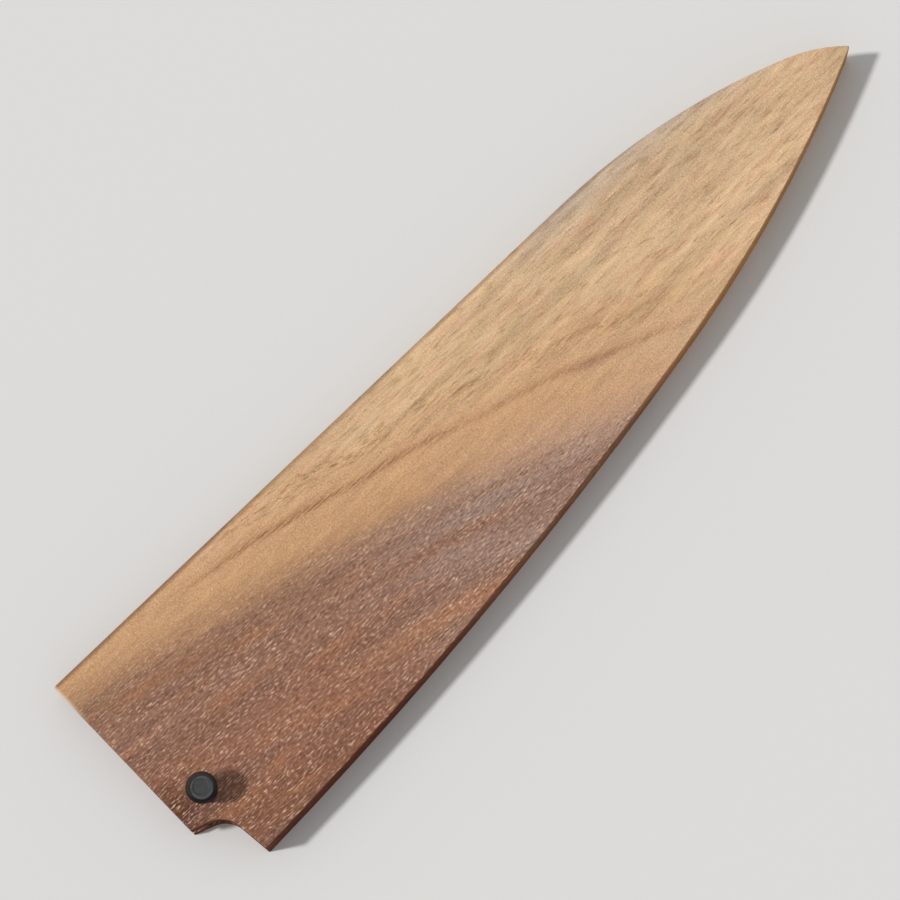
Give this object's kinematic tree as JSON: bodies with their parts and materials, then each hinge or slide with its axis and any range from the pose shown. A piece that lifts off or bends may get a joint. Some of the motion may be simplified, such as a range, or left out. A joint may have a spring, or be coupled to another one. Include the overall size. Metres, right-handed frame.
{
  "type": "knife blade guard",
  "caption": "Flat wooden blade guard for a chef's knife: two slabs on glued rails around a thin blade pocket, with a tapered pin that locks the knife in.",
  "frame": {"origin": "middle of the outline's box, on the back face", "axes": "+X from the mouth to the tip, +Y towards the spine side, +Z out of the front face, the way the pin pulls out"},
  "size_m": [0.2305, 0.0584, 0.0154],
  "materials": {
    "panel_wood": "oiled, satin",
    "rail_wood": "oiled, satin",
    "pin_black": "matte black, turned"
  },
  "bodies": {
    "sheath": {"front_panel": "panel_wood", "back_panel": "panel_wood", "spine_rail": "rail_wood", "edge_rail": "rail_wood"},
    "pin": {"locking_pin": "pin_black"}
  },
  "joints": [
    {"name": "pin_pull", "type": "slide", "parent": "sheath", "child": "pin", "axis": [0, 0, 1], "range_m": [0, 0.014]}
  ]
}
